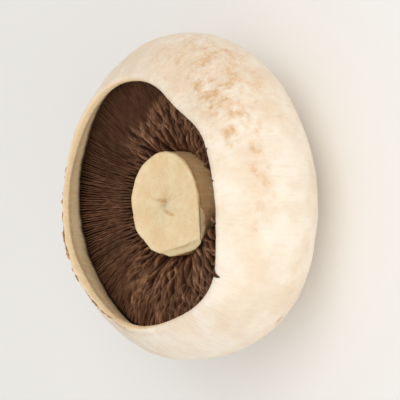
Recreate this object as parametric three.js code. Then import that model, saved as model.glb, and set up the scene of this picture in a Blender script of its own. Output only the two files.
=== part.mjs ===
// A portobello mushroom, picked and trimmed, lying on the crown of its cap with its gills up.
// Lengths are in millimetres and +Z is up. The origin is the middle of the flat spot that it rests on.
// It has a cap that curls in at its rim, gills in the cap's hollow, and a stem cut short of the rim.
import * as THREE from "three";

// The cap
const CAP_RADIUS = 44;
const SHOULDER_HEIGHT = 25;
const REST_RADIUS = 8;
const RIM_HEIGHT = 43.5;
const RIM_OPENING_RADIUS = 33;
const RIM_EDGE_RADIUS = 1.5;
const RIM_EDGE_START = THREE.MathUtils.degToRad(50);
const RIM_EDGE_END = THREE.MathUtils.degToRad(190);
const MARGIN_FULLNESS = 8.5;
const CAP_SIDES = 80;
const CURVE_STEPS = 5;

// The flesh under the gills is thickest at the stem and climbs to the margin.
const FLESH_THICKNESS = 17;
const BED_RADIUS = 38;
const BED_RIM_HEIGHT = 29.5;
const BED_STEEPNESS = 1.7;

// The stem
const STEM_RADIUS = 14.4;
const STEM_WAIST_RADIUS = 14;
const STEM_FOOT_RADIUS = 15;
const CUT_HEIGHT = 34;
const CUT_BEVEL = 0.5;
const STEM_SIDES = 56;

// Near its cut the stem bulges out to a corner.
const CORNER_ANGLE = THREE.MathUtils.degToRad(234.5);
const CORNER_SPREAD = THREE.MathUtils.degToRad(24);
const CORNER_REACH = 3.9;
const CORNER_DEPTH = 6;

// The stem is pared flat on these sides. Each flat faces an angle in degrees, at a distance from the
// stem's axis at the cut, and slopes outwards by that much for each millimetre down.
const PARED_SIDES = [
  { facing: 200, distance: 13.6, slope: 1.4 },
  { facing: 270, distance: 14.8, slope: 0 },
  { facing: 165, distance: 13.2, slope: 0.25 },
  { facing: 140, distance: 13, slope: 0.25 },
];

// The gills stand on a thin layer. Every fourth one runs all the way from the stem to the rim.
const LONG_GILLS = 56;
const GILL_INNER_RADIUS = 15.9;
const GILL_OUTER_RADIUS = 37.8;
const GILL_LAYER_THICKNESS = 1;
const GILL_ROOT_WIDTH = 0.7;
const GILL_EDGE_WIDTH = 0.6;
const GILL_INNER_EDGE_HEIGHT = 26.5;
const GILL_OUTER_EDGE_HEIGHT = 36.6;
const GILL_EDGE_BULGE = 2.4;
const GILL_BULGE_SKEW = 0.7;
const GILL_END_SLOPE = 0.27;

// Gills stray sideways in waves along their length, and the waves drift from gill to gill.
const GILL_WAVE = 0.4;
const GILL_WAVE_LENGTH = 10.5;
const GILL_WAVE_DRIFTS = [
  { count: 2, at: 0.8, size: 2.5 },
  { count: 5, at: 0.3, size: 1.5 },
];

// Rings of points at even steps carry the gills. A shorter gill starts as a point at one of these rings.
const GILL_RINGS = 6;
const SHORT_GILL_STARTS = [1, 2];
const SHORTEST_GILL_STARTS = [3, 4];
const START_SPREAD = 0.6;
const FIRST_RISE = 0.7;

// Touching pieces keep this gap.
const GAP = 0.3;

// How this one grew: its upper part leans, with slow waves round its outline and along its rim.
const LEAN = -1.3;
const OUTLINE_WAVES = [
  { count: 1, at: -0.35, size: 0.03 },
  { count: 2, at: 0.35, size: 0.022 },
  { count: 3, at: 1.92, size: 0.02 },
  { count: 5, at: 0.24, size: 0.004 },
];
const RIM_WAVES = [
  { count: 1, at: 1.94, size: 0.6 },
  { count: 3, at: 0.87, size: 0.8 },
  { count: 5, at: 0.87, size: 0.3 },
];

// On a ring, a gill's points lie from its own place to this much past it. No place reaches the last value.
const FAR_ROOT = 0.75;
const PAST_ALL_PLACES = 1e6;

const GILL_SEED = 7;

// Surfaces
const SKIN = { color: 0xf4e4cc, roughness: 0.75, metalness: 0 };
const GILL_TISSUE = { color: 0x4b3122, roughness: 0.9, metalness: 0 };
const CUT_FLESH = { color: 0xe8cda2, roughness: 0.8, metalness: 0 };

// A repeatable draw from 0 to 1.
function makeDraw(seed) {
  let state = seed;
  return () => {
    state = (Math.imul(state, 1664525) + 1013904223) >>> 0;
    return state / 2 ** 32;
  };
}

function waveSum(waves, angle) {
  return waves.reduce((sum, wave) => sum + wave.size * Math.cos(wave.count * (angle - wave.at)), 0);
}

// Bends a round, level geometry into the shape that this mushroom grew to.
function grow(geometry) {
  const position = geometry.getAttribute("position");
  const point = new THREE.Vector3();
  for (let i = 0; i < position.count; i++) {
    point.fromBufferAttribute(position, i);
    const angle = Math.atan2(point.y, point.x);
    const outwards = Math.hypot(point.x, point.y) / CAP_RADIUS;
    const upwards = point.z / RIM_HEIGHT;
    const stretch = 1 + waveSum(OUTLINE_WAVES, angle) * outwards ** 2;
    const lift = waveSum(RIM_WAVES, angle) * upwards ** 2 * outwards;
    position.setXYZ(i, point.x * stretch + LEAN * upwards ** 2, point.y * stretch, point.z + lift);
  }
  return geometry;
}

// Turns an outline of (radius, height) points about the vertical axis.
function turned(outline, sides, startAngle = 0) {
  return new THREE.LatheGeometry(outline, sides, startAngle).rotateX(Math.PI / 2);
}

// The height of the gills' roots at a radius.
function rootHeight(radius) {
  const share = Math.max(0, (radius - GILL_INNER_RADIUS) / (BED_RADIUS - GILL_INNER_RADIUS));
  return FLESH_THICKNESS + (BED_RIM_HEIGHT - FLESH_THICKNESS) * share ** BED_STEEPNESS;
}

// Points along the root line, from one radius to another, each lowered by drop.
function rootLine(fromRadius, toRadius, steps, drop) {
  return Array.from({ length: steps + 1 }, (_, i) => {
    const radius = THREE.MathUtils.lerp(fromRadius, toRadius, i / steps);
    return new THREE.Vector2(radius, rootHeight(radius) - drop);
  });
}

function capGeometry() {
  const edgeMiddle = new THREE.Vector2(
    RIM_OPENING_RADIUS + RIM_EDGE_RADIUS,
    RIM_HEIGHT - RIM_EDGE_RADIUS,
  );
  const edgePoint = (angle) =>
    new THREE.Vector2(Math.cos(angle), Math.sin(angle))
      .multiplyScalar(RIM_EDGE_RADIUS)
      .add(edgeMiddle);
  const alongEdge = new THREE.Vector2(Math.sin(RIM_EDGE_START), -Math.cos(RIM_EDGE_START));
  const rimOutside = edgePoint(RIM_EDGE_START);
  const bedDrop = GILL_LAYER_THICKNESS + GAP;
  const bed = rootLine(BED_RADIUS + GAP, GILL_INNER_RADIUS, GILL_RINGS, bedDrop);

  const skin = new THREE.Path();
  skin.moveTo(0, 0);
  skin.lineTo(REST_RADIUS, 0);
  skin.absellipse(
    REST_RADIUS,
    SHOULDER_HEIGHT,
    CAP_RADIUS - REST_RADIUS,
    SHOULDER_HEIGHT,
    -Math.PI / 2,
    0,
    false,
  );
  skin.bezierCurveTo(
    CAP_RADIUS,
    SHOULDER_HEIGHT + MARGIN_FULLNESS,
    rimOutside.x + alongEdge.x * MARGIN_FULLNESS,
    rimOutside.y + alongEdge.y * MARGIN_FULLNESS,
    rimOutside.x,
    rimOutside.y,
  );
  skin.absarc(edgeMiddle.x, edgeMiddle.y, RIM_EDGE_RADIUS, RIM_EDGE_START, RIM_EDGE_END, false);
  skin.quadraticCurveTo(BED_RADIUS + GAP, RIM_HEIGHT - MARGIN_FULLNESS, bed[0].x, bed[0].y);
  const outline = [...skin.getPoints(CURVE_STEPS), ...bed.slice(1), new THREE.Vector2(0, bed.at(-1).y)];
  return turned(outline, CAP_SIDES);
}

// A stem that widens into the cap, with a level cut.
function stemGeometry() {
  const foot = FLESH_THICKNESS - GILL_LAYER_THICKNESS;
  const middle = (foot + CUT_HEIGHT) / 2;
  const side = new THREE.Path();
  side.moveTo(0, foot);
  side.lineTo(STEM_FOOT_RADIUS, foot);
  side.quadraticCurveTo(STEM_WAIST_RADIUS, foot + GAP, STEM_WAIST_RADIUS, middle);
  side.quadraticCurveTo(STEM_WAIST_RADIUS, CUT_HEIGHT - CUT_BEVEL, STEM_RADIUS, CUT_HEIGHT - CUT_BEVEL);
  side.lineTo(STEM_RADIUS - CUT_BEVEL, CUT_HEIGHT);
  side.lineTo(0, CUT_HEIGHT);
  return cornered(turned(side.getPoints(CURVE_STEPS), STEM_SIDES));
}

// Draws one side of the stem out to a corner, then pares its sides.
function cornered(geometry) {
  const position = geometry.getAttribute("position");
  for (let i = 0; i < position.count; i++) {
    const point = new THREE.Vector2(position.getX(i), position.getY(i));
    const depth = CUT_HEIGHT - position.getZ(i);
    const turn = point.angle() - CORNER_ANGLE;
    const share = Math.exp(-((turn / CORNER_SPREAD) ** 2)) * Math.max(0, 1 - depth / CORNER_DEPTH);
    point.multiplyScalar(1 + (share * CORNER_REACH) / STEM_RADIUS);
    for (const { facing, distance, slope } of PARED_SIDES) {
      const angle = THREE.MathUtils.degToRad(facing);
      const outwards = new THREE.Vector2(Math.cos(angle), Math.sin(angle));
      point.addScaledVector(outwards, Math.min(0, distance + slope * depth - point.dot(outwards)));
    }
    position.setXY(i, point.x, point.y);
  }
  return geometry;
}

// The free edge's height at a share of the way from the stem to the rim.
function edgeHeight(share) {
  const straight = THREE.MathUtils.lerp(GILL_INNER_EDGE_HEIGHT, GILL_OUTER_EDGE_HEIGHT, share);
  return straight + GILL_EDGE_BULGE * Math.sin(Math.PI * share ** GILL_BULGE_SKEW);
}

// How far a gill at this angle strays sideways at a radius. Neighbours stray alike.
function stray(angle, radius) {
  const phase = (2 * Math.PI * radius) / GILL_WAVE_LENGTH + waveSum(GILL_WAVE_DRIFTS, angle);
  return GILL_WAVE * Math.sin(phase);
}

// The gills in order round the stem, each with its angle and the ring where it starts.
function layOutGills() {
  const draw = makeDraw(GILL_SEED);
  const choose = (choices) => choices[Math.floor(draw() * choices.length)];
  return Array.from({ length: 4 * LONG_GILLS }, (_, place) => {
    const angle = (2 * Math.PI * place) / (4 * LONG_GILLS);
    if (place % 4 === 0) return { place, angle, start: 0, shift: 0 };
    const starts = place % 4 === 2 ? SHORT_GILL_STARTS : SHORTEST_GILL_STARTS;
    return { place, angle, start: choose(starts), shift: START_SPREAD * draw() };
  });
}

// A growing list of points. Each is added at a radius, an angle, a step sideways and a height.
class Points {
  coordinates = [];

  add(radius, angle, sideways, height) {
    const turn = angle + (stray(angle, radius) + sideways) / radius;
    this.coordinates.push(radius * Math.cos(turn), radius * Math.sin(turn), height);
    return this.coordinates.length / 3 - 1;
  }
}

// The points of one gill on one ring: up its near side, over its free edge and down its far side.
// Where the gill starts they are one point.
function gillSection(points, gill, ring) {
  if (gill.start > 0 && ring === gill.start) {
    const share = (ring + gill.shift) / GILL_RINGS;
    const radius = THREE.MathUtils.lerp(GILL_INNER_RADIUS, GILL_OUTER_RADIUS, share);
    return [{ place: gill.place, index: points.add(radius, gill.angle, 0, rootHeight(radius)) }];
  }
  const share = ring / GILL_RINGS;
  const rootRadius = THREE.MathUtils.lerp(GILL_INNER_RADIUS, GILL_OUTER_RADIUS, share);
  const root = rootHeight(rootRadius);
  const rise = gill.start > 0 && ring === gill.start + 1 ? FIRST_RISE : 1;
  const edge = THREE.MathUtils.lerp(root, edgeHeight(share), rise);
  const edgeRadius = rootRadius - GILL_END_SLOPE * (edge - root) * share;
  return [
    [0, rootRadius, -GILL_ROOT_WIDTH / 2, root],
    [0.25, edgeRadius, -GILL_EDGE_WIDTH / 2, edge],
    [0.5, edgeRadius, GILL_EDGE_WIDTH / 2, edge],
    [FAR_ROOT, rootRadius, GILL_ROOT_WIDTH / 2, root],
  ].map(([offset, radius, sideways, height]) => ({
    place: gill.place + offset,
    index: points.add(radius, gill.angle, sideways, height),
  }));
}

// The underside of the layer on one ring, with two points under each gill.
function layerSection(points, gill, ring) {
  const radius = THREE.MathUtils.lerp(GILL_INNER_RADIUS, GILL_OUTER_RADIUS, ring / GILL_RINGS);
  const height = rootHeight(radius) - GILL_LAYER_THICKNESS;
  return [
    { place: gill.place, index: points.add(radius, gill.angle, -GILL_ROOT_WIDTH / 2, height) },
    { place: gill.place + FAR_ROOT, index: points.add(radius, gill.angle, GILL_ROOT_WIDTH / 2, height) },
  ];
}

// Fills the band between two closed rings of points. Points that hold the same place are paired.
// Both faces of a gill are cut along the same diagonal, so a bent gill keeps its thickness.
function fillBand(near, far) {
  const triangles = [];
  const indexAt = (ring, i) => ring[i % ring.length].index;
  const nextPlace = (ring, i) =>
    i + 1 < ring.length ? ring[i + 1].place : PAST_ALL_PLACES + i - ring.length;
  let i = 0;
  let j = 0;
  while (i < near.length || j < far.length) {
    const corner = [indexAt(near, i), indexAt(far, j)];
    const nearPlace = nextPlace(near, i);
    const farPlace = nextPlace(far, j);
    const nearFirst = nearPlace < farPlace || (nearPlace === farPlace && nearPlace % 1 === FAR_ROOT);
    corner.push(nearFirst ? indexAt(near, ++i) : indexAt(far, ++j));
    if (new Set(corner).size === 3) triangles.push(...corner);
  }
  return triangles;
}

// All the gills and the layer they stand on, as one closed surface. Its rings go in under the layer
// to the stem, up the layer's inner edge, out over the gills to the rim and back down.
function gillsGeometry() {
  const gills = layOutGills();
  const points = new Points();
  const ringNumbers = Array.from({ length: GILL_RINGS + 1 }, (_, ring) => ring);
  const over = ringNumbers.map((ring) =>
    gills.filter((gill) => gill.start <= ring).flatMap((gill) => gillSection(points, gill, ring)),
  );
  const under = ringNumbers.map((ring) =>
    gills
      .filter((gill) => gill.start === 0 || ring === GILL_RINGS)
      .flatMap((gill) => layerSection(points, gill, ring)),
  );
  const roots = (ring) => ring.filter((point) => point.place % 1 === 0 || point.place % 1 === FAR_ROOT);
  const rings = [...under.reverse(), roots(over[0]), ...over, roots(over[GILL_RINGS]), under[0]];
  const triangles = rings.slice(1).flatMap((ring, i) => fillBand(rings[i], ring));
  return new THREE.BufferGeometry()
    .setAttribute("position", new THREE.Float32BufferAttribute(points.coordinates, 3))
    .setIndex(triangles);
}

function piece(name, geometry, surface) {
  const mesh = new THREE.Mesh(grow(geometry), new THREE.MeshStandardMaterial(surface));
  mesh.name = name;
  return mesh;
}

const mushroom = new THREE.Group();
mushroom.name = "portobello_mushroom";
mushroom.add(
  piece("cap", capGeometry(), SKIN),
  piece("gills", gillsGeometry(), GILL_TISSUE),
  piece("stem", stemGeometry(), CUT_FLESH),
);

export default mushroom;
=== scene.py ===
# A portobello mushroom that lies on the crown of its cap, seen from above with its gills up.
# The shape is worked out in millimetres, in the frame's own axes, and goes into Blender in metres.
import math

import bpy
import numpy as np
from mathutils import Matrix, Vector, noise


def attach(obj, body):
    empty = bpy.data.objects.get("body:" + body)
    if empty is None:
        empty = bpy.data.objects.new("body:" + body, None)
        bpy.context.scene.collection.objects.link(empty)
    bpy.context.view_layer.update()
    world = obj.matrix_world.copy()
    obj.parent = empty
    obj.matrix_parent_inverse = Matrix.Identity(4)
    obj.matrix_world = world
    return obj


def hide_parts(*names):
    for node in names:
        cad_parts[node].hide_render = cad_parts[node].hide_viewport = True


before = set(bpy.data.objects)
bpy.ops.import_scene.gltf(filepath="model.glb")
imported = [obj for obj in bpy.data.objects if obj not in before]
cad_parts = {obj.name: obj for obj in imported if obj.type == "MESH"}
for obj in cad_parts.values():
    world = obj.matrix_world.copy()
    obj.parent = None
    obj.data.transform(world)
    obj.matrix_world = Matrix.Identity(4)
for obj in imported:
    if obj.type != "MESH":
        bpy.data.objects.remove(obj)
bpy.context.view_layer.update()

MM = 0.001
BODY = "root"

# The cap, as in the frame
CAP_RADIUS = 44.0
SHOULDER_HEIGHT = 25.0
REST_RADIUS = 8.0
RIM_HEIGHT = 43.5
RIM_OPENING_RADIUS = 33.0
RIM_EDGE_RADIUS = 1.5
RIM_EDGE_START = math.radians(50)
RIM_EDGE_END = math.radians(190)
MARGIN_FULLNESS = 8.5
FLESH_THICKNESS = 17.0
BED_RADIUS = 38.0
BED_RIM_HEIGHT = 29.5
BED_STEEPNESS = 1.7
CAP_SIDES = 520

# The stem, as in the frame but for its first pared side, which is turned and cut a little deeper
STEM_RADIUS = 14.4
STEM_WAIST_RADIUS = 14.0
STEM_FOOT_RADIUS = 15.0
CUT_HEIGHT = 34.0
CORNER_ANGLE = math.radians(234.5)
CORNER_SPREAD = math.radians(24)
CORNER_REACH = 3.9
CORNER_DEPTH = 6.0
# Each pared side: the angle in degrees that it faces, its distance at the cut, and its slope outwards
PARED_SIDES = [(193, 12.4, 1.4), (270, 14.8, 0.0), (165, 13.2, 0.25), (140, 13.0, 0.25)]
STEM_SIDES = 320

# The gills, as in the frame but thinner, more of them, and steeper at their outer ends
LONG_GILLS = 78
GILL_INNER_RADIUS = 15.9
GILL_OUTER_RADIUS = 37.8
GILL_LAYER_THICKNESS = 1.0
GILL_INNER_EDGE_HEIGHT = 26.5
GILL_OUTER_EDGE_HEIGHT = 36.6
GILL_EDGE_BULGE = 2.4
GILL_BULGE_SKEW = 0.7
GILL_END_SLOPE = 0.16
GAP = 0.3

# How this one grew, as in the frame: (count, at, size) of each wave
LEAN = -1.3
OUTLINE_WAVES = [(1, -0.35, 0.03), (2, 0.35, 0.022), (3, 1.92, 0.02), (5, 0.24, 0.004)]
RIM_WAVES = [(1, 1.94, 0.6), (3, 0.87, 0.8), (5, 0.87, 0.3)]

# Where the rim's edge curls further in, or less: angle and spread in degrees, and millimetres inwards
LIP_PULLS = [(331, 19, 3.4), (233, 20, -2.6), (62, 30, 2.0), (145, 36, 2.1)]
# The heights and the radii over which those pulls set in
PULL_HEIGHTS = (28, 42)
PULL_RADII = (18, 32)

rng = np.random.default_rng(11)


def smooth_step(low, high, value):
    share = np.clip((value - low) / (high - low), 0, 1)
    return share * share * (3 - 2 * share)


def noise_at(points, size, seed=0.0):
    """Smooth noise from about -1 to 1 at each point, with features of that size."""
    offset = Vector((seed * 17.3, seed * 5.1, seed * 29.7))
    flat = np.asarray(points, float).reshape(-1, 3) / size
    values = [noise.noise(Vector(p) + offset) for p in flat]
    return np.array(values).reshape(np.shape(points)[:-1])


def noise_sum(layers, points):
    """The sum at each point of layers of noise given as (strength, size, seed)."""
    return sum(strength * noise_at(points, size, seed) for strength, size, seed in layers)


def wave_sum(waves, angle):
    return sum(size * np.cos(count * (angle - at)) for count, at, size in waves)


def gaussian_sum(bumps, angle):
    """The sum at each angle of bumps given as (middle, spread, size), with the first two in degrees."""
    total = 0 * angle
    for middle, spread, size in bumps:
        turn = (np.degrees(angle) - middle + 180) % 360 - 180
        total = total + size * np.exp(-((turn / spread) ** 2))
    return total


def grow(points):
    """Bends round, level points into the shape that this mushroom grew to."""
    x, y, z = np.moveaxis(np.asarray(points, float), -1, 0)
    angle = np.arctan2(y, x)
    radius = np.hypot(x, y)
    outwards = radius / CAP_RADIUS
    upwards = z / RIM_HEIGHT
    pull = gaussian_sum(LIP_PULLS, angle) * smooth_step(*PULL_HEIGHTS, z) * smooth_step(*PULL_RADII, radius)
    stretch = 1 + wave_sum(OUTLINE_WAVES, angle) * outwards**2 - pull / np.maximum(radius, 1)
    lift = wave_sum(RIM_WAVES, angle) * upwards**2 * outwards
    return np.stack([x * stretch + LEAN * upwards**2, y * stretch, z + lift], -1)


def root_height(radius):
    share = np.clip((radius - GILL_INNER_RADIUS) / (BED_RADIUS - GILL_INNER_RADIUS), 0, None)
    return FLESH_THICKNESS + (BED_RIM_HEIGHT - FLESH_THICKNESS) * share**BED_STEEPNESS


def bezier(points, count):
    """Points along the Bezier curve of any degree, without its first."""
    t = np.linspace(0, 1, count + 1)[1:, None]
    layers = [np.array(p, float)[None] * np.ones_like(t) for p in points]
    while len(layers) > 1:
        layers = [a * (1 - t) + b * t for a, b in zip(layers, layers[1:])]
    return layers[0]


def turn_outline(outline, sides):
    """The rings of points that an outline of (radius, height) makes about the vertical axis."""
    angle = np.linspace(0, 2 * math.pi, sides, endpoint=False)
    radius, height = outline[:, :1], outline[:, 1:]
    return np.stack([radius * np.cos(angle), radius * np.sin(angle), height + 0 * angle], -1)


def ring_normals(rings):
    """Outward normals of rings of points that run from the bottom of a form to its top."""
    along = np.gradient(rings, axis=0)
    around = np.roll(rings, -1, axis=1) - np.roll(rings, 1, axis=1)
    normal = np.cross(around, along)
    return normal / np.maximum(np.linalg.norm(normal, axis=-1, keepdims=True), 1e-9)


def ring_faces(count, sides, start=0):
    """Quads between rings of points. The rings are numbered from start, one after the other."""
    ring, side = np.meshgrid(np.arange(count - 1), np.arange(sides), indexing="ij")
    following = (side + 1) % sides
    corners = [ring * sides + side, ring * sides + following]
    corners += [(ring + 1) * sides + following, (ring + 1) * sides + side]
    return (np.stack(corners, -1).reshape(-1, 4) + start).tolist()


def new_piece(name, points, faces, **attributes):
    """A smooth mesh object from points in millimetres, with named numbers on its points."""
    mesh = bpy.data.meshes.new(name)
    mesh.from_pydata((np.asarray(points) * MM).tolist(), [], faces)
    mesh.polygons.foreach_set("use_smooth", [True] * len(mesh.polygons))
    for key, values in attributes.items():
        values = np.asarray(values, float)
        kind = "FLOAT_VECTOR" if values.ndim == 2 else "FLOAT"
        layer = mesh.attributes.new(key, kind, "POINT")
        layer.data.foreach_set("vector" if values.ndim == 2 else "value", values.ravel())
    mesh.validate()
    piece = bpy.data.objects.new(name, mesh)
    bpy.context.collection.objects.link(piece)
    return piece


def closed_piece(name, rings, bottom, top, **attributes):
    """A closed piece from rings of points and one point at each end."""
    count, sides = rings.shape[:2]
    points = np.concatenate([rings.reshape(-1, 3), [bottom, top]])
    faces = ring_faces(count, sides)
    low, high, last = count * sides, count * sides + 1, (count - 1) * sides
    faces += [[low, (i + 1) % sides, i] for i in range(sides)]
    faces += [[high, last + i, last + (i + 1) % sides] for i in range(sides)]
    filled = {}
    for key, values in attributes.items():
        flat = values.reshape(count * sides, *values.shape[2:])
        filled[key] = np.concatenate([flat, flat[:1], flat[-1:]])
    return new_piece(name, points, faces, **filled)


def hoop(name, rings, **attributes):
    """A closed ring-shaped piece from rings of points, the last of which joins the first."""
    count, sides = rings.shape[:2]
    closed = np.concatenate([np.arange(count * sides), np.arange(sides)])
    faces = [[closed[corner] for corner in face] for face in ring_faces(count + 1, sides)]
    filled = {}
    for key, values in attributes.items():
        filled[key] = np.reshape(values, (count * sides, *np.shape(values)[2:]))
    return new_piece(name, rings.reshape(-1, 3), faces, **filled)


# How far red, green and blue light spread under a surface, one beside the other
SUBSURFACE_RADIUS = (1.0, 0.5, 0.25)


class Look:
    """A material made of nodes. Each call adds nodes and gives back an output to use."""

    def __init__(self, name, roughness, subsurface=0.0, scale=0.002):
        self.material = bpy.data.materials.new(name)
        self.material.use_nodes = True
        self.nodes = self.material.node_tree.nodes
        self.links = self.material.node_tree.links
        self.shader = self.nodes["Principled BSDF"]
        self.shader.inputs["Roughness"].default_value = roughness
        self.shader.inputs["Subsurface Weight"].default_value = subsurface
        self.shader.inputs["Subsurface Radius"].default_value = SUBSURFACE_RADIUS
        self.shader.inputs["Subsurface Scale"].default_value = scale

    def set(self, socket, value):
        if isinstance(value, bpy.types.NodeSocket):
            self.links.new(value, socket)
        else:
            socket.default_value = value

    def shade(self, **values):
        for key, value in values.items():
            self.set(self.shader.inputs[key.replace("_", " ").title()], value)

    def attribute(self, name):
        node = self.nodes.new("ShaderNodeAttribute")
        node.attribute_name = name
        return node.outputs["Vector"] if name == "grain" else node.outputs["Fac"]

    def place(self):
        """The point's place in metres."""
        return self.nodes.new("ShaderNodeTexCoord").outputs["Object"]

    def noise(self, place, size, detail=4.0, roughness=0.55):
        """Noise from 0 to 1 with features of that size, in the units of the place."""
        node = self.nodes.new("ShaderNodeTexNoise")
        self.set(node.inputs["Vector"], place)
        node.inputs["Scale"].default_value = 1 / size
        node.inputs["Detail"].default_value = detail
        node.inputs["Roughness"].default_value = roughness
        return node.outputs["Fac"]

    def stretch(self, place, factors):
        node = self.nodes.new("ShaderNodeVectorMath")
        node.operation = "MULTIPLY"
        self.set(node.inputs[0], place)
        node.inputs[1].default_value = factors
        return node.outputs["Vector"]

    def math(self, operation, first, second):
        node = self.nodes.new("ShaderNodeMath")
        node.operation = operation
        self.set(node.inputs[0], first)
        self.set(node.inputs[1], second)
        return node.outputs["Value"]

    def remap(self, value, low, high, to_low=0.0, to_high=1.0):
        node = self.nodes.new("ShaderNodeMapRange")
        node.interpolation_type = "SMOOTHSTEP"
        inputs = ("Value", "From Min", "From Max", "To Min", "To Max")
        for key, number in zip(inputs, (value, low, high, to_low, to_high)):
            self.set(node.inputs[key], number)
        return node.outputs["Result"]

    def mix(self, share, first, second):
        node = self.nodes.new("ShaderNodeMix")
        node.data_type = "RGBA"
        self.set(node.inputs["Factor"], share)
        for socket, colour in ((node.inputs[6], first), (node.inputs[7], second)):
            self.set(socket, (*colour, 1.0) if isinstance(colour, tuple) else colour)
        return node.outputs[2]

    def bump(self, height, distance, below=None):
        """A relief of that distance in metres, laid over the one below."""
        node = self.nodes.new("ShaderNodeBump")
        self.set(node.inputs["Height"], height)
        node.inputs["Distance"].default_value = distance
        node.inputs["Strength"].default_value = 1.0
        if below is not None:
            self.set(node.inputs["Normal"], below)
        return node.outputs["Normal"]


def srgb(red, green, blue):
    """A colour as a photograph gives it, from 0 to 255, in linear light."""
    shares = [c / 255 for c in (red, green, blue)]
    return tuple(c / 12.92 if c <= 0.04045 else ((c + 0.055) / 1.055) ** 2.4 for c in shares)


# The side of the rim where most of the veil was left: the middle of it in degrees, and how it fades
# out with the cosine of the angle from there
TORN_SIDE = 125
TORN_FADE = (0.2, 0.8)


def torn_at(angle):
    """How torn the rim is at an angle, from 0 to 1."""
    return smooth_step(*TORN_FADE, np.cos(angle - math.radians(TORN_SIDE)))


# Scuffs and stains on the skin: angle in degrees, height, half length round the cap, half length
# along it, in millimetres, and strength. The first ones follow the photograph.
STAINS = [
    (-32, 34, 28, 13, 0.55),
    (-80, 34, 18, 6, 0.32),
    (-28, 38, 9, 4, 0.6),
    (-44, 38, 8, 4.5, 0.8),
    (-53, 35, 6, 4, 0.7),
    (-61, 39, 4, 2.4, 0.8),
    (-69, 34, 3.2, 2.2, 0.55),
    (-76, 35.5, 2.2, 1.6, 0.7),
    (-83, 33, 3.5, 1.8, 0.45),
    (-90, 34.5, 2.0, 1.5, 0.75),
    (-98, 36, 3.4, 1.6, 0.45),
    (-12, 33, 8, 5, 0.35),
    (-136, 19, 2.2, 1.2, 1.0),
    (-147, 18, 2.6, 1.2, 1.0),
    (-160, 22, 3.4, 1.2, 0.9),
    (-118, 21, 9, 4, 0.25),
    (70, 33, 9, 4, 0.5),
    (95, 24, 7, 6, 0.45),
    (128, 35, 6, 3, 0.6),
    (160, 28, 8, 5, 0.4),
    (35, 17, 7, 4, 0.45),
    (5, 20, 5, 3, 0.55),
]
CROWN_STAIN = 0.7
CROWN_STAIN_RADIUS = 19.0
CROWN_RINGS = 9

# The rim is thinner on its inner face on the far side: by how much, and over which stretches past the
# rim's top it sets in and ends
FAR_THINNING = 1.3
THINNING_START = (-1.5, 2)
THINNING_END = (9, 3)
# The far side begins where the sine of the angle, turned by this much, passes through this range.
FAR_SIDE_TURN = 0.2
FAR_SIDE_FADE = (-0.35, 0.35)

# Where the skin ends and where the hidden bed begins, as stretches past the rim's top
SKIN_END = (4, 0)
HIDDEN_BED = (16, 12)
# How far from the flat spot the relief sets in
CROWN_FADE = (-1, 12)

# The relief of the cap and the unevenness of its stains: strength, size and seed of each layer of noise
STAIN_PATCHES = [(0.6, 3.4, 6), (0.5, 1.3, 7)]
SKIN_LUMPS = [(0.45, 19, 1), (0.2, 7, 2)]
MARGIN_FOLDS = [(0.12, 4.2, 3)]
SKIN_FIBRES = [(0.05, 1.3, 5)]
SKIN_SCALES = [(1, 2.3, 4)]
SCALE_THICKNESS = 0.16
RIM_TATTERS = [(1, 4.2, 8), (0.6, 1.3, 9)]


def cap_outline():
    """The cap's outline from the crown over the rim to the middle of its bed, without its ends."""
    edge_middle = np.array([RIM_OPENING_RADIUS + RIM_EDGE_RADIUS, RIM_HEIGHT - RIM_EDGE_RADIUS])
    edge_angle = np.linspace(RIM_EDGE_START, RIM_EDGE_END, 26)
    edge = edge_middle + RIM_EDGE_RADIUS * np.stack([np.cos(edge_angle), np.sin(edge_angle)], -1)
    along_edge = np.array([math.sin(RIM_EDGE_START), -math.cos(RIM_EDGE_START)])
    crown_radius = np.linspace(0.8, REST_RADIUS, CROWN_RINGS)
    crown = np.stack([crown_radius, 0 * crown_radius], -1)
    t = np.linspace(-math.pi / 2, 0, 61)[1:]
    dome_radius = REST_RADIUS + np.cos(t) * (CAP_RADIUS - REST_RADIUS)
    dome = np.stack([dome_radius, (np.sin(t) + 1) * SHOULDER_HEIGHT], -1)
    above_dome = (CAP_RADIUS, SHOULDER_HEIGHT + MARGIN_FULLNESS)
    margin = bezier([dome[-1], above_dome, edge[0] + along_edge * MARGIN_FULLNESS, edge[0]], 30)[:-1]
    bed_start = (BED_RADIUS + GAP, root_height(BED_RADIUS + GAP) - GILL_LAYER_THICKNESS - GAP)
    inside = bezier([edge[-1], (BED_RADIUS + GAP, RIM_HEIGHT - MARGIN_FULLNESS), bed_start], 18)
    bed_radius = np.linspace(BED_RADIUS + GAP, 2.0, 12)[1:]
    bed = np.stack([bed_radius, root_height(bed_radius) - GILL_LAYER_THICKNESS - GAP], -1)
    return np.concatenate([crown, dome, margin, edge, inside, bed])


def stain_at(rings, angle):
    """How stained the skin is at each point, from 0 to 1."""
    stain = np.zeros(rings.shape[:2])
    radius = np.hypot(rings[..., 0], rings[..., 1])
    for degrees, height, half_width, half_length, strength in STAINS:
        turn = (angle - math.radians(degrees) + math.pi) % (2 * math.pi) - math.pi
        across = turn * radius / half_width
        lengthways = (rings[..., 2] - height) / half_length
        stain = np.maximum(stain, strength * np.exp(-(across**2 + lengthways**2)))
    return stain


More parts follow.
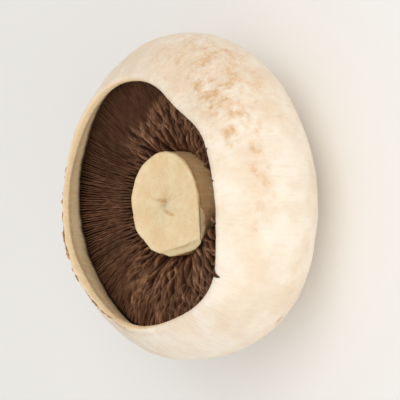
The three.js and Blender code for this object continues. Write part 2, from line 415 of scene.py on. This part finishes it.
def make_cap():
    outline = cap_outline()
    steps = np.linalg.norm(np.diff(outline, axis=0), axis=1)
    travel = (np.concatenate([[0], np.cumsum(steps)]) + outline[0, 0])[:, None]
    past_rim = travel - travel[outline[:, 1].argmax()]
    angle = np.linspace(0, 2 * math.pi, CAP_SIDES, endpoint=False)[None]
    rings = turn_outline(outline, CAP_SIDES)
    far_side = smooth_step(*FAR_SIDE_FADE, np.sin(angle - FAR_SIDE_TURN))
    thinned = smooth_step(*THINNING_START, past_rim) * smooth_step(*THINNING_END, past_rim)
    thinning = FAR_THINNING * far_side * thinned
    rings[..., :2] *= (1 + thinning / np.maximum(outline[:, :1], 1))[..., None]
    over_gills = rings[..., 2] - gill_edge_height(1, angle)
    rings = grow(rings)
    around = CAP_RADIUS * np.stack([np.cos(angle) + 0 * travel, np.sin(angle) + 0 * travel], -1)
    grain = np.concatenate([around, (travel + 0 * angle)[..., None]], -1)

    # The bed lies hidden under the gills, so it stays as it is in the frame.
    shown = smooth_step(*HIDDEN_BED, past_rim)
    off_crown = smooth_step(*CROWN_FADE, travel - REST_RADIUS)
    on_skin = smooth_step(*SKIN_END, past_rim)
    torn = torn_at(angle)

    stain = stain_at(rings, angle) * on_skin
    stain = np.maximum(stain, CROWN_STAIN * np.exp(-((travel / CROWN_STAIN_RADIUS) ** 2)))
    stain = np.clip(stain * (1 + noise_sum(STAIN_PATCHES, rings)), 0, 1)

    # Slow lumps, low folds at the margin, fibres along the cap, and thin scales where the skin is scuffed
    relief = noise_sum(SKIN_LUMPS, rings) * off_crown
    near_rim = np.exp(-(((past_rim + 3) / 5) ** 2))
    relief += noise_sum(MARGIN_FOLDS, grain * (1, 1, 0.2)) * near_rim
    relief += noise_sum(SKIN_FIBRES, grain * (1, 1, 0.18)) * off_crown
    scales = smooth_step(-0.05, 0.35, noise_sum(SKIN_SCALES, grain * (1, 1, 0.5)))
    relief += SCALE_THICKNESS * scales * smooth_step(0.1, 0.5, stain) * on_skin * off_crown
    rings = rings + ring_normals(rings) * (relief * shown)[..., None]

    # The veil tore away from the rim's edge and left it ragged and brown on one side.
    level_around = np.concatenate([around, 0 * grain[..., 2:]], -1)
    ragged = noise_sum(RIM_TATTERS, level_around)
    at_edge = np.exp(-((past_rim / 1.2) ** 2))
    rings[..., 2] += (0.1 + 0.22 * torn) * ragged * at_edge
    browned = np.exp(-(((past_rim + 1.5) / 0.8) ** 2)) * torn * np.clip(0.75 + 0.8 * ragged, 0, 1)
    inside = smooth_step(-0.6, 0.6, past_rim - 1.4 * (1 - far_side))
    # Painted shade: on the far side the rim's top is painted a little darker than the inner wall below it,
    # so that the brightly lit top and the shaded wall come out even.
    crest = np.exp(-(((past_rim - 0.6) / 1.7) ** 2)) * far_side
    rings[:CROWN_RINGS, :, 2] = 0
    return closed_piece(
        "cap_flesh_and_skin",
        rings,
        (0, 0, 0),
        grow([(0, 0, outline[-1, 1])])[0],
        stain=stain,
        inside=inside,
        browned=browned,
        crest=crest,
        # Below the gills' edges the cap's inner face is painted dark brown: the gill tissue's own colour
        # under them, and painted shade between their outer ends.
        bed=smooth_step(1.3, -0.4, over_gills + 0.4 * ragged) * smooth_step(2, 4, past_rim),
        grain=grain,
    )


def skin_look():
    look = Look("mushroom_skin", roughness=0.62, subsurface=0.1, scale=0.0015)
    look.shader.inputs["Specular IOR Level"].default_value = 0.35
    place = look.place()
    threads = look.noise(look.stretch(look.attribute("grain"), (1, 1, 0.16)), 0.9, 5)
    clouds = look.noise(place, 0.011, 3)
    spots = look.noise(place, 0.0022, 5, 0.65)
    fine = look.noise(place, 0.0008, 6, 0.65)
    skin = look.mix(look.remap(clouds, 0.35, 0.66), srgb(250, 238, 221), srgb(241, 222, 198))
    skin = look.mix(look.remap(threads, 0.5, 0.75, 0, 0.4), skin, srgb(232, 208, 178))
    patchy = look.math("MULTIPLY", look.attribute("stain"), look.remap(spots, 0.3, 0.7, 0.5, 1.3))
    tan = look.mix(look.remap(fine, 0.35, 0.65), srgb(235, 199, 156), srgb(216, 172, 124))
    skin = look.mix(look.remap(patchy, 0.05, 1.0, 0, 1.0), skin, tan)
    flesh = look.mix(look.remap(threads, 0.3, 0.7), srgb(255, 234, 192), srgb(250, 216, 166))
    # Painted shade on the far rim's top, to even it out with the shaded wall.
    flesh = look.mix(look.math("MULTIPLY", look.attribute("crest"), 0.75), flesh, srgb(244, 216, 176))
    colour = look.mix(look.attribute("inside"), skin, flesh)
    # Dark brown below the gills' edges: gill colour, and painted shade where the gills meet the wall.
    colour = look.mix(look.attribute("bed"), colour, srgb(48, 28, 17))
    edge = look.math("MULTIPLY", look.attribute("browned"), look.remap(threads, 0.3, 0.65, 0.3, 0.75))
    colour = look.mix(edge, colour, srgb(186, 142, 92))
    relief = look.bump(threads, 0.0002)
    relief = look.bump(fine, 0.0002, relief)
    look.shade(base_color=colour, normal=relief, roughness=look.remap(fine, 0.3, 0.7, 0.5, 0.72))
    return look.material


# What the veil left along the rim: a thin torn strip, mostly low, that stands in the rim's edge
VEIL_RADIUS = RIM_OPENING_RADIUS + 2.2
VEIL_THICKNESS = 0.3
VEIL_ROOT_HEIGHT = RIM_HEIGHT - 1.6
VEIL_SIDES = 720
# How far below the rim the strip ends where little of it was left, and the range of its tears
VEIL_DROP = 1.1
VEIL_TEAR_RANGE = (-0.8, 0.7)
VEIL_TEARS = [(0.9, 8, 41), (0.7, 2.1, 42), (0.4, 0.8, 43)]
VEIL_CURL = [(0.4, 3.1, 44)]
# Its section, up one side and down the other: the share of its height, and of its half thickness
VEIL_SECTION = [(0, 1), (0.5, 1), (0.9, 0.8), (1, 0), (0.9, -0.8), (0.5, -1), (0, -1)]


def make_veil():
    angle = np.linspace(0, 2 * math.pi, VEIL_SIDES, endpoint=False)
    around = np.stack([np.cos(angle) * VEIL_RADIUS, np.sin(angle) * VEIL_RADIUS, 0 * angle], -1)
    left = np.clip(noise_sum(VEIL_TEARS, around), *VEIL_TEAR_RANGE)
    top = RIM_HEIGHT - VEIL_DROP + torn_at(angle) * (VEIL_DROP + left)
    curl = noise_sum(VEIL_CURL, around)
    half = VEIL_THICKNESS / 2
    rings = []
    for share, side in VEIL_SECTION:
        radius = VEIL_RADIUS + side * half + curl * share**2
        height = VEIL_ROOT_HEIGHT + (top - VEIL_ROOT_HEIGHT) * share
        rings.append(np.stack([radius * np.cos(angle), radius * np.sin(angle), height], -1))
    rings = grow(rings)
    grain = np.broadcast_to(around, rings.shape)
    return hoop("torn_veil", rings, grain=grain)


def veil_look():
    look = Look("torn_veil", roughness=0.7, subsurface=0.2, scale=0.001)
    threads = look.noise(look.stretch(look.attribute("grain"), (1, 1, 0.3)), 0.7, 5)
    fine = look.noise(look.place(), 0.0006, 5, 0.6)
    tan = look.mix(look.remap(fine, 0.35, 0.65), srgb(214, 182, 140), srgb(182, 145, 104))
    colour = look.mix(look.remap(threads, 0.4, 0.62), tan, srgb(146, 112, 74))
    look.shade(base_color=colour, normal=look.bump(fine, 0.0001))
    return look.material


# Scraps of dark gill that stick to the near lip: angle in degrees, length and half width in millimetres
SCRAPS = [
    (-119, 4.2, 1.5),
    (-97, 2.9, 0.9),
    (-78, 3.1, 1.0),
    (-63, 2.8, 0.8),
]
SCRAP_THICKNESS = 0.28
# How far above the rim's edge they lie, half the width of their tips, and how far they run aslant
SCRAP_CLEARANCE = 0.12
SCRAP_TIP = 0.05
SCRAP_SLANT = 0.5
SCRAP_LENGTH_STEPS, SCRAP_WIDTH_STEPS = 12, 6


def make_scraps():
    """Each scrap lies over the rim's edge, from the inside outwards, and runs out to a torn tip."""
    points, faces = [], []
    length_steps, width_steps = SCRAP_LENGTH_STEPS, SCRAP_WIDTH_STEPS
    for degrees, length, half_width in SCRAPS:
        share = np.linspace(0, 1, length_steps + 1)[:, None]
        across = np.linspace(-1, 1, width_steps + 1)[None]
        narrowing = (1 - share ** rng.uniform(0.9, 1.5)) * smooth_step(-0.2, 0.35, share)
        taper = half_width * narrowing + SCRAP_TIP
        taper = taper * (1 + 0.3 * rng.uniform(-1, 1, share.shape))
        reach = share * (1 + 0.1 * rng.uniform(-1, 1, across.shape)) * length
        edge_angle = RIM_EDGE_END - reach / RIM_EDGE_RADIUS
        aside = across * taper + SCRAP_SLANT * share * rng.uniform(-1, 1)
        turn = math.radians(degrees) + aside / RIM_OPENING_RADIUS
        first = len(points)
        for hand in (1, -1):
            swelling = hand * SCRAP_THICKNESS / 2 * (1 - across**2) * (1 - share**4)
            lift = RIM_EDGE_RADIUS + SCRAP_CLEARANCE + swelling
            radius = RIM_OPENING_RADIUS + RIM_EDGE_RADIUS + lift * np.cos(edge_angle)
            height = RIM_HEIGHT - RIM_EDGE_RADIUS + lift * np.sin(edge_angle)
            sheet = np.stack([radius * np.cos(turn), radius * np.sin(turn), height], -1)
            points.extend(sheet.reshape(-1, 3))
        sheet_size = share.size * across.size
        for i in range(length_steps):
            for j in range(width_steps):
                a = first + i * across.size + j
                b = a + across.size
                faces.append([a, b, b + 1, a + 1])
                faces.append([a + sheet_size, a + sheet_size + 1, b + sheet_size + 1, b + sheet_size])
        border = [i * across.size for i in range(length_steps + 1)]
        border += [length_steps * across.size + j for j in range(1, width_steps + 1)]
        border += [i * across.size + width_steps for i in range(length_steps - 1, -1, -1)]
        border += list(range(width_steps - 1, 0, -1))
        for here, after in zip(border, border[1:] + border[:1]):
            corners = (here, sheet_size + here, sheet_size + after, after)
            faces.append([first + corner for corner in corners])
    flat = grow(np.array(points))
    ones = np.ones(len(flat))
    return new_piece("gill_scraps", flat, faces, height=0.92 * ones, tone=0.35 * ones, grain=flat)


# Where the gills stand higher against the stem: angle and spread in degrees, and how much in millimetres
INNER_SWELLS = [(228, 36, 4.0), (335, 40, 2.2)]
# The net that the winding gills make: how many meshes go round, how long two of them are, and the sway
NET_MESHES = 62
NET_LENGTH = 6.4
NET_SWAY = 0.8
# How the net and the gills wander: strength, size and seed of each layer of noise
MESH_WANDER = [(0.8, 7, 15)]
BEND_WANDER = [(0.9, 5, 16)]
GILL_WINDING = [(1.0, 5.4, 11), (0.7, 1.8, 12)]
FINE_WINDING = [(0.12, 1.0, 13)]
EDGE_UNEVENNESS = [(1, 2.4, 14)]
# What is left of the winding where the gills run straight, and of all sway at the rim
STRAIGHT_WINDING = 0.12
RIM_SWAY = 0.3
# The rounds in which gills that overlap move apart, and how many gills along each one looks
PARTING_ROUNDS = 14
PARTING_REACHES = (4, 2, 1)
# The gills run straight beyond these distances to the far side, and in a corner beyond a slanting line.
STRAIGHT_SIDE = (22, 13)
STRAIGHT_CORNER = (53, 44)
CORNER_SLANT = 1.6

# How much higher the gills end on one side of the rim, and lower on the other, and where
OUTER_TILT = 3.4
OUTER_TILT_AT = math.radians(-12)

# How far the free edges reach in over the gap to the stem
INNER_REACH = 1.75

# From root to free edge: each row's share of a gill's height, and its half width
GILL_ROWS = np.array([0, 0.45, 0.8, 0.95, 1.0])
GILL_HALF_WIDTHS = np.array([0.32, 0.19, 0.17, 0.14, 0.03])
GILL_STEPS = 36
CLOSEST_GILLS = 0.25

# Of each four gills, where each starts as a share of the way to the rim, and how far that varies
GILL_STARTS = (0.0, 0.62, 0.3, 0.62)
GILL_START_SPREADS = (0.0, 0.16, 0.12, 0.16)


def gill_edge_height(share, angle):
    straight = GILL_INNER_EDGE_HEIGHT + (GILL_OUTER_EDGE_HEIGHT - GILL_INNER_EDGE_HEIGHT) * share
    straight = straight + gaussian_sum(INNER_SWELLS, angle) * (1 - share) ** 3
    straight = straight + OUTER_TILT * np.cos(angle - OUTER_TILT_AT) * share**2
    return straight + GILL_EDGE_BULGE * np.sin(math.pi * share**GILL_BULGE_SKEW)


def restless_at(angle, radius):
    """How wildly the gills wind at a place, from 0 on the far side to 1."""
    across, along = np.sin(angle) * radius, np.cos(angle) * radius
    corner = smooth_step(*STRAIGHT_CORNER, across + CORNER_SLANT * along)
    return smooth_step(*STRAIGHT_SIDE, across) * corner


def gill_sway(angle, radius, rise):
    """How far the free edges lean sideways. They part and meet like a net but never cross."""
    around = [30 * np.cos(angle) + 0 * radius, 30 * np.sin(angle) + 0 * radius, 0.45 * radius + 0 * angle]
    around = np.stack(around, -1)
    restless = STRAIGHT_WINDING + (1 - STRAIGHT_WINDING) * restless_at(angle, radius)
    held = smooth_step(GILL_OUTER_RADIUS + 1, GILL_OUTER_RADIUS - 5, radius)
    mesh = 2 * math.pi * (NET_MESHES * angle / (2 * math.pi) + noise_sum(MESH_WANDER, around))
    bend = 2 * math.pi * (radius / NET_LENGTH + noise_sum(BEND_WANDER, around))
    net = -NET_SWAY * np.sin(mesh) * np.cos(bend)
    sway = (net + noise_sum(GILL_WINDING, around)) * restless + noise_sum(FINE_WINDING, around)
    sway *= RIM_SWAY + (1 - RIM_SWAY) * held
    for _ in range(PARTING_ROUNDS):
        for apart in PARTING_REACHES:
            place = angle * radius + sway
            following = np.roll(place, -apart, axis=0)
            following[-apart:] += 2 * math.pi * radius[0]
            both_stand = np.minimum(rise, np.roll(rise, -apart, axis=0))
            overlap = np.maximum(0, CLOSEST_GILLS - (following - place)) * both_stand
            sway += (np.roll(overlap, apart, axis=0) - overlap) / 2
    return sway


def make_gills():
    count = 4 * LONG_GILLS
    angle = 2 * math.pi * (np.arange(count) + rng.uniform(-0.2, 0.2, count))[:, None] / count
    share = np.linspace(0, 1, GILL_STEPS + 1)[None]
    spread = np.tile(GILL_START_SPREADS, LONG_GILLS) * rng.uniform(-1, 1, count)
    crowded = 0.8 - 0.5 * smooth_step(-0.1, 0.6, np.sin(angle))
    begin = (np.tile(GILL_STARTS, LONG_GILLS) + spread)[:, None] * crowded
    since = share - begin
    rise = np.where(begin > 0, smooth_step(-0.02, 0.16, since), 0.88 + 0.12 * smooth_step(0, 0.08, since))
    radius = GILL_INNER_RADIUS + (GILL_OUTER_RADIUS - GILL_INNER_RADIUS) * share + 0 * angle
    sway = gill_sway(angle, radius, rise)

    # Where gills bunch they stand out higher and paler.
    gap = 2 * math.pi * radius / count
    crowd = np.clip((np.roll(sway, 2, axis=0) - np.roll(sway, -2, axis=0)) / (4 * gap), -1, 1)
    restless = restless_at(angle, radius)
    line = np.stack([np.cos(angle) * radius, np.sin(angle) * radius, 0 * radius], -1)
    tone = 0.3 + 0.2 * restless - 0.25 * smooth_step(2, 22, line[..., 0]) * (1 - restless)
    tone = np.clip(tone + 0.45 * crowd + rng.uniform(-0.1, 0.1, (count, 1)), 0, 1)
    uneven = (0.15 + 0.25 * restless) * noise_sum(EDGE_UNEVENNESS, line)
    uneven = uneven + (0.4 + 0.7 * restless) * crowd
    uneven = uneven + (0.05 + 0.1 * restless) * rng.normal(0, 1, (count, 1))
    # On the far side they are pressed close together.
    pressed = smooth_step(0, 14, line[..., 1]) * smooth_step(1, 0.8, share)
    fullness = 0.6 + 0.4 * rise + 0.7 * (1 - share) ** 3 + 0.9 * pressed + 0.8 * restless
    root = root_height(radius) - 0.4
    edge = root + (gill_edge_height(share, angle) - root + uneven) * rise

    points, faces, heights, tones, grain = [], [], [], [], []
    total = 0
    across = 2 * len(GILL_ROWS) - 1
    for k in range(count):
        on = np.flatnonzero(since[k] >= 0)
        row_share = GILL_ROWS[None]
        tall = (edge - root)[k, on, None]
        inwards = GILL_END_SLOPE * tall * share[0, on, None] + INNER_REACH * (1 - share[0, on, None]) ** 6
        row_radius = radius[k, on, None] - inwards * row_share
        row_height = root[k, on, None] + tall * row_share
        sides = []
        for hand in (-1, 1):
            half = hand * GILL_HALF_WIDTHS * fullness[k, on, None]
            turn = angle[k] + (sway[k, on, None] * row_share**1.3 + half) / row_radius
            sides.append(np.stack([row_radius * np.cos(turn), row_radius * np.sin(turn), row_height], -1))
        section = np.concatenate([sides[0], sides[1][:, -2::-1]], axis=1)
        points.append(section.reshape(-1, 3))
        heights.append(np.tile(np.concatenate([GILL_ROWS, GILL_ROWS[-2::-1]]), len(on)))
        tones.append(np.repeat(tone[k, on], across))
        along = np.repeat(radius[k, on], across)
        grain.append(np.stack([np.full(len(along), k * 7.3), along, section[..., 2].ravel()], -1))
        for i in range(len(on) - 1):
            near = total + i * across
            for j in range(across):
                after = (j + 1) % across
                faces.append([near + j, near + across + j, near + across + after, near + after])
        faces.append([total + j for j in range(across)])
        total += len(on) * across
        faces.append([total - 1 - j for j in range(across)])
    return new_piece(
        "gill_blades",
        grow(np.concatenate(points)),
        faces,
        height=np.concatenate(heights),
        tone=np.concatenate(tones),
        grain=np.concatenate(grain),
    )


# How high the bed stands between the gills, as a share of their height, and its unevenness
BED_LIFT = 0.74
BED_UNEVENNESS = [(0.4, 1.4, 21)]
BED_SIDES = 240
BED_STEPS = 24


def make_gill_bed():
    """The layer that the gills stand on. It fills the depth between them."""
    share = np.linspace(0, 1, BED_STEPS)
    radius = GILL_INNER_RADIUS + (GILL_OUTER_RADIUS - GILL_INNER_RADIUS) * share
    bottom = np.stack([radius[::-1], root_height(radius[::-1]) - GILL_LAYER_THICKNESS], -1)
    top = np.stack([radius - 0.8 * share, root_height(radius)], -1)
    rings = turn_outline(np.concatenate([bottom, top]), BED_SIDES)
    angle = np.linspace(0, 2 * math.pi, BED_SIDES, endpoint=False)[None]
    tall = gill_edge_height(share[:, None], angle) - root_height(radius)[:, None]
    upper = rings[BED_STEPS:]
    upper[..., 2] += BED_LIFT * tall + noise_sum(BED_UNEVENNESS, upper)
    rings = grow(rings)
    level = np.zeros(rings.shape[:2])
    # Its height number sets how much of the gill material's painted shade it takes.
    return hoop("gill_bed", rings, height=level + 0.85, tone=level + 0.6, grain=rings)


def gill_look():
    look = Look("gill_tissue", roughness=0.85, subsurface=0.05, scale=0.0006)
    look.shader.inputs["Specular IOR Level"].default_value = 0.2
    grain = look.attribute("grain")
    height = look.attribute("height")
    tone = look.attribute("tone")
    streaks = look.noise(look.stretch(grain, (1, 0.35, 1)), 0.9, 4)
    patches = look.noise(look.place(), 0.006, 3)
    dark = look.mix(tone, srgb(62, 35, 19), srgb(88, 54, 34))
    # The free edges are painted paler: partly their own dusty edge tissue, partly a painted highlight where
    # the edges catch the light.
    pale_edge_and_highlight = look.mix(look.remap(streaks, 0.35, 0.7), srgb(118, 80, 55), srgb(172, 130, 100))
    share = look.math("MULTIPLY", look.remap(height, 0.9, 0.99), look.remap(patches, 0.3, 0.65, 0.6, 1.0))
    share = look.math("MULTIPLY", share, look.remap(tone, 0.1, 0.8, 0.2, 1.15))
    colour = look.mix(share, dark, pale_edge_and_highlight)
    # Painted shade: the gills are painted darker towards their roots, where the narrow gaps between them
    # lie in shade.
    deep = look.remap(height, 0.5, 0.92, 0.9, 0.0)
    colour = look.mix(deep, colour, srgb(60, 34, 20))
    relief = look.bump(streaks, 0.00015)
    look.shade(base_color=colour, normal=relief)
    return look.material


# Creases near the middle of the stem's cut: start, end, half width and depth, in millimetres
CREASES = [
    ((1.8, 5.4), (1.2, 3.3), 0.45, 0.2),
    ((1.2, 3.3), (1.0, -0.4), 0.55, 0.32),
    ((1.0, -0.4), (2.6, -3.4), 0.4, 0.16),
    ((-1.9, -0.4), (-2.6, -3.3), 0.55, 0.32),
    ((-2.6, -3.3), (-3.2, -4.4), 0.4, 0.12),
]
# The pale speck in the middle: its place and its radius
PALE_SPECK = (-0.4, -1.6, 1.1)
CUT_BEVEL = 0.7
TRUNK_RADIUS = 14

# The stem's relief: strength, size and seed of each layer of noise
STEM_RIBS = [(0.26, 2.2, 31), (0.13, 0.9, 32)]
CUT_RELIEF = [(0.3, 7, 33), (0.09, 1.5, 34)]
CUT_EDGE_WAVES = [(0.25, 4.0, 35)]
MARKS_ASTRAY = ([(0.5, 1.7, 36)], [(0.5, 1.7, 37)])
CREASE_DEPTH = 0.32
SPECK_HEIGHT = 0.1
CUT_RIM_HEIGHT = 0.25


def distance_to_segment(x, y, start, end):
    (ax, ay), (bx, by) = start, end
    length = math.hypot(bx - ax, by - ay)
    share = np.clip(((x - ax) * (bx - ax) + (y - ay) * (by - ay)) / length**2, 0, 1)
    return np.hypot(x - ax - share * (bx - ax), y - ay - share * (by - ay))


def stem_outline():
    """The stem's outline from its foot to the middle of its cut, without its ends."""
    foot = FLESH_THICKNESS - GILL_LAYER_THICKNESS
    middle = (foot + CUT_HEIGHT) / 2
    under = np.stack([np.linspace(3, STEM_FOOT_RADIUS, 5), np.full(5, foot)], -1)
    lower = bezier([under[-1], (STEM_WAIST_RADIUS, foot + GAP), (STEM_WAIST_RADIUS, middle)], 18)
    shoulder = (STEM_RADIUS, CUT_HEIGHT - CUT_BEVEL)
    upper = bezier([lower[-1], (STEM_WAIST_RADIUS, CUT_HEIGHT - CUT_BEVEL), shoulder], 16)
    inner_edge = (STEM_RADIUS - CUT_BEVEL, CUT_HEIGHT)
    corner = bezier([shoulder, (STEM_RADIUS, CUT_HEIGHT), inner_edge], 7)
    face_radius = np.linspace(inner_edge[0], 0.3, 60)[1:]
    face = np.stack([face_radius, 0 * face_radius + CUT_HEIGHT], -1)
    return np.concatenate([under, lower, upper, corner, face]), len(under)


def make_stem():
    outline, hidden = stem_outline()
    rings = turn_outline(outline, STEM_SIDES)
    angle = np.linspace(0, 2 * math.pi, STEM_SIDES, endpoint=False)[None]
    depth = CUT_HEIGHT - rings[..., 2]
    turn = (angle - CORNER_ANGLE + math.pi) % (2 * math.pi) - math.pi
    share = np.exp(-((turn / CORNER_SPREAD) ** 2)) * np.maximum(0, 1 - depth / CORNER_DEPTH)
    rings[..., :2] *= (1 + share * CORNER_REACH / STEM_RADIUS)[..., None]
    pared = np.zeros_like(depth)
    for degrees, distance, slope in PARED_SIDES:
        toward = np.array([math.cos(math.radians(degrees)), math.sin(math.radians(degrees))])
        over = np.maximum(0, rings[..., :2] @ toward - distance - slope * depth)
        rings[..., :2] -= over[..., None] * toward
        pared = np.maximum(pared, smooth_step(0.02, 0.2, over) * smooth_step(2.5, 1.2, depth))

    x, y, z = np.moveaxis(rings, -1, 0)
    radius = np.hypot(x, y)
    on_cut = smooth_step(CUT_HEIGHT - 0.5, CUT_HEIGHT - 0.02, outline[:, 1:]) + 0 * angle
    trunk = [TRUNK_RADIUS * np.cos(angle) + 0 * z, TRUNK_RADIUS * np.sin(angle) + 0 * z, 0.13 * z]
    trunk = np.stack(trunk, -1)
    ribs = noise_sum(STEM_RIBS, trunk)
    side = (1 - on_cut) * smooth_step(0, hidden + 2, np.arange(len(outline)))[:, None]

    # The marks wander a little, as torn fibres do.
    astray_x = x + noise_sum(MARKS_ASTRAY[0], rings)
    astray_y = y + noise_sum(MARKS_ASTRAY[1], rings)
    crease = np.zeros_like(z)
    for start, end, half_width, deep in CREASES:
        beside = distance_to_segment(astray_x, astray_y, start, end) / half_width
        crease = np.maximum(crease, deep * np.exp(-(beside**2)))
    crease *= on_cut
    away = np.hypot(astray_x - PALE_SPECK[0], astray_y - PALE_SPECK[1]) / PALE_SPECK[2]
    speck = np.exp(-(away**2)) * on_cut
    face = noise_sum(CUT_RELIEF, rings) - CREASE_DEPTH * crease + SPECK_HEIGHT * speck
    face += CUT_RIM_HEIGHT * smooth_step(STEM_RADIUS - 3, STEM_RADIUS - CUT_BEVEL, radius)
    wavy_edge = noise_sum(CUT_EDGE_WAVES, trunk * (1, 1, 0)) * smooth_step(9, STEM_RADIUS, radius)
    rings = grow(rings)
    rings = rings + ring_normals(rings) * (ribs * side * (1 - pared) + face * on_cut)[..., None]
    rings[..., 2] += wavy_edge * on_cut
    return closed_piece(
        "stem_stub",
        rings,
        grow([(0, 0, outline[0, 1])])[0],
        rings[-1].mean(axis=0),
        cut=on_cut,
        crease=crease,
        speck=speck,
        pared=pared,
        rise=(z - FLESH_THICKNESS) / (CUT_HEIGHT - FLESH_THICKNESS),
        grain=np.stack([trunk[..., 0], trunk[..., 1], z], -1),
    )


def stem_look():
    look = Look("stem_flesh", roughness=0.6, subsurface=0.1, scale=0.0015)
    place = look.place()
    threads = look.noise(look.stretch(look.attribute("grain"), (1, 1, 0.12)), 0.8, 5)
    clouds = look.noise(place, 0.004, 4)
    fine = look.noise(place, 0.0007, 6, 0.7)
    face = look.mix(look.remap(clouds, 0.35, 0.65), srgb(255, 231, 188), srgb(250, 220, 172))
    face = look.mix(look.remap(fine, 0.5, 0.75, 0, 0.35), face, srgb(216, 180, 130))
    face = look.mix(look.remap(look.attribute("crease"), 0.0, 0.35, 0, 0.85), face, srgb(226, 180, 124))
    face = look.mix(look.attribute("speck"), face, srgb(255, 237, 192))
    bark = look.mix(look.remap(threads, 0.3, 0.68), srgb(255, 220, 164), srgb(244, 196, 136))
    low = look.mix(look.remap(look.attribute("rise"), 0.1, 0.7), srgb(242, 192, 136), bark)
    low = look.mix(look.math("MULTIPLY", look.attribute("pared"), 0.9), low, srgb(255, 234, 188))
    colour = look.mix(look.attribute("cut"), low, face)
    relief = look.bump(fine, 0.00025)
    relief = look.bump(threads, 0.0003, relief)
    look.shade(base_color=colour, normal=relief)
    return look.material


def finish_piece(piece, material, slot, *nodes):
    piece.data.materials.append(material)
    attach(piece, BODY)
    if nodes:
        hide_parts(*nodes)


FLOOR_HALF_WIDTH = 3.0


def make_floor():
    mesh = bpy.data.meshes.new("floor")
    signs = ((-1, -1), (1, -1), (1, 1), (-1, 1))
    corners = [(x * FLOOR_HALF_WIDTH, y * FLOOR_HALF_WIDTH, 0) for x, y in signs]
    mesh.from_pydata(corners, [], [(0, 1, 2, 3)])
    floor = bpy.data.objects.new("floor", mesh)
    bpy.context.collection.objects.link(floor)
    look = Look("floor", roughness=0.9)
    look.shade(base_color=(0.93, 0.92, 0.9, 1))
    mesh.materials.append(look.material)


def add_light(name, place, size, power, colour=(1, 1, 1)):
    """A soft square light at a place in metres that faces the mushroom."""
    data = bpy.data.lights.new(name, "AREA")
    data.size = size
    data.energy = power
    data.color = colour
    lamp = bpy.data.objects.new(name, data)
    lamp.location = place
    middle = Vector((0, 0, RIM_HEIGHT / 2 * MM))
    lamp.rotation_euler = (middle - lamp.location).to_track_quat("-Z", "Y").to_euler()
    bpy.context.collection.objects.link(lamp)


WORLD_STRENGTH = 0.7


def make_light():
    world = bpy.data.worlds.new("studio")
    world.use_nodes = True
    world.node_tree.nodes["Background"].inputs["Color"].default_value = (1, 0.99, 0.97, 1)
    world.node_tree.nodes["Background"].inputs["Strength"].default_value = WORLD_STRENGTH
    bpy.context.scene.world = world
    add_light("key", (0.27, -0.42, 0.7), 0.6, 1.75, (1, 0.985, 0.96))
    add_light("front_fill", (-0.35, -0.87, 0.3), 0.8, 2.6)
    bpy.context.scene.view_settings.view_transform = "Standard"


# The photograph looks down on the near rim, and its upright is along +X.
CAMERA_ELEVATION = math.radians(39)
CAMERA_DISTANCE = 1.2
# What the camera looks at, in metres, and the share of the picture that the cap takes
PICTURE_MIDDLE = (0.0005, 0.0, 0.0215)
PICTURE_SHARE = 0.8
SENSOR_WIDTH = 36.0


def make_camera():
    data = bpy.data.cameras.new("camera")
    data.sensor_width = SENSOR_WIDTH
    field = 2 * CAP_RADIUS * MM / PICTURE_SHARE
    data.lens = SENSOR_WIDTH * CAMERA_DISTANCE / field
    data.clip_start, data.clip_end = 0.05, 20
    camera = bpy.data.objects.new("camera", data)
    back = Vector((0, -math.cos(CAMERA_ELEVATION), math.sin(CAMERA_ELEVATION)))
    up = Vector((1, 0, 0))
    right = up.cross(back)
    camera.rotation_mode = "QUATERNION"
    camera.rotation_quaternion = Matrix((right, up, back)).transposed().to_quaternion()
    camera.location = Vector(PICTURE_MIDDLE) + back * CAMERA_DISTANCE
    bpy.context.collection.objects.link(camera)
    bpy.context.scene.camera = camera


make_camera()
make_light()
make_floor()
finish_piece(make_cap(), skin_look(), "cap_flesh", "cap")
finish_piece(make_veil(), veil_look(), "cap_flesh", "cap")
gill_material = gill_look()
finish_piece(make_gills(), gill_material, "gill_tissue", "gills")
finish_piece(make_gill_bed(), gill_material, "gill_tissue", "gills")
finish_piece(make_scraps(), gill_material, "gill_tissue", "gills")
finish_piece(make_stem(), stem_look(), "stem_flesh", "stem")
